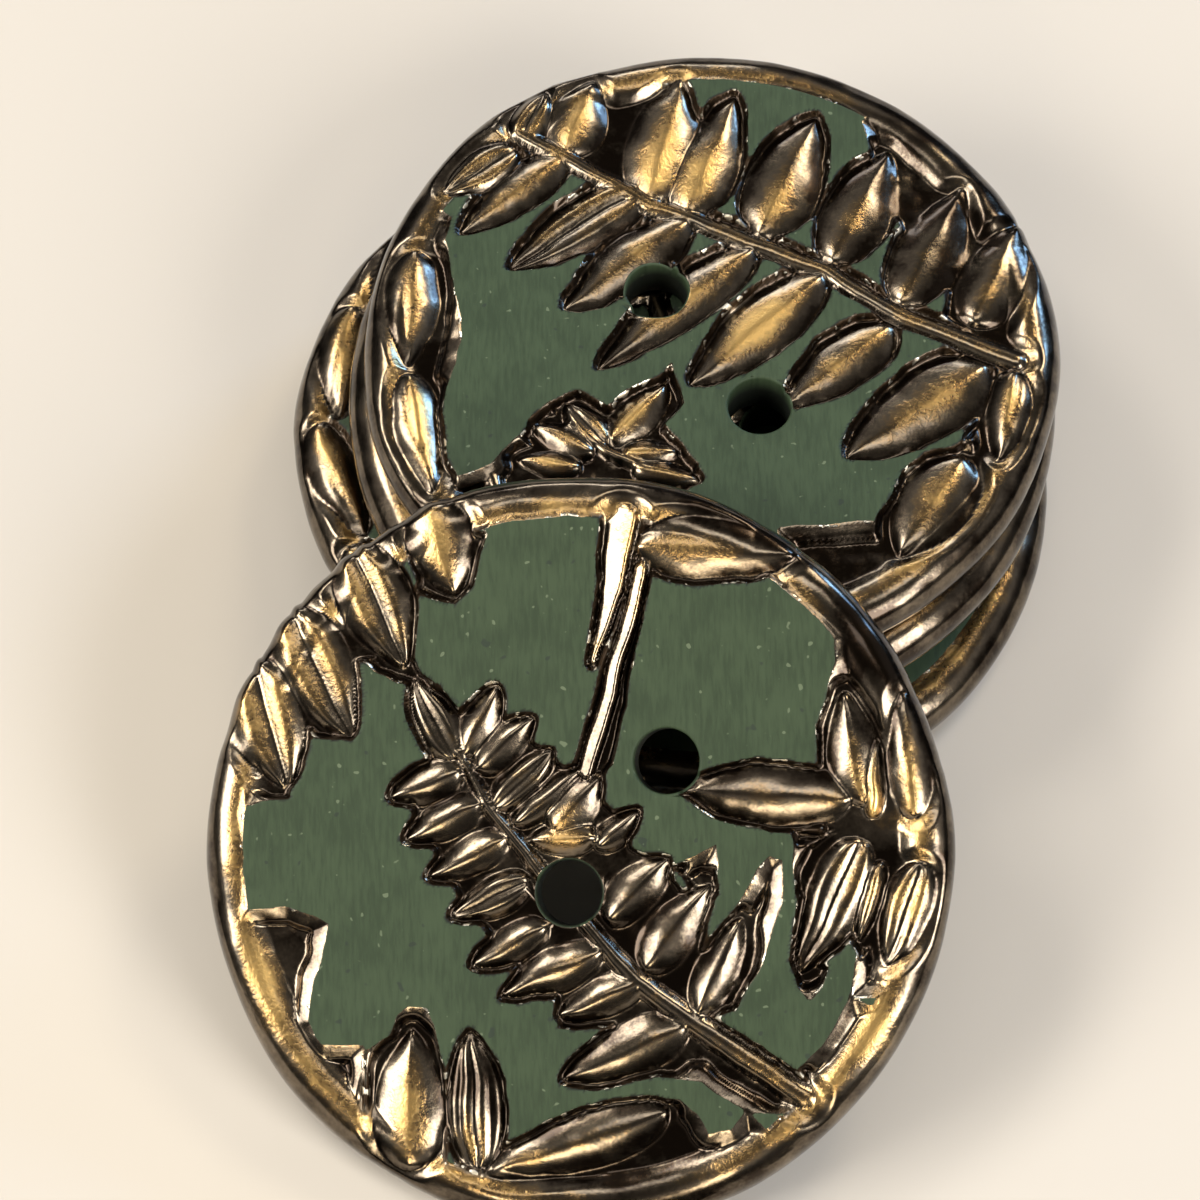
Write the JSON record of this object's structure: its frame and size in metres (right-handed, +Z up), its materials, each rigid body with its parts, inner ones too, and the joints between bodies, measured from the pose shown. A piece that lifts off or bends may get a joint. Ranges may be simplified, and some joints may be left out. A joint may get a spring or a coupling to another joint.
{
  "type": "stack of buttons",
  "caption": "Round two-hole clay buttons with bronze fern relief round a sanded green face, four stacked and one leaning.",
  "frame": {"origin": "middle of the bottom button's underside, on the surface that the stack stands on", "axes": "+Z up along the stack; +Y away from the leaning button, which lies on the -Y side; +X to the right of a viewer who looks along +Y"},
  "size_m": [0.0375, 0.0538, 0.0147],
  "materials": {
    "fern_clay": "satin"
  },
  "bodies": {
    "root": {"bottom_button": "fern_clay", "second_button": "fern_clay", "third_button": "fern_clay", "top_button": "fern_clay", "leaning_button": "fern_clay"}
  },
  "joints": []
}
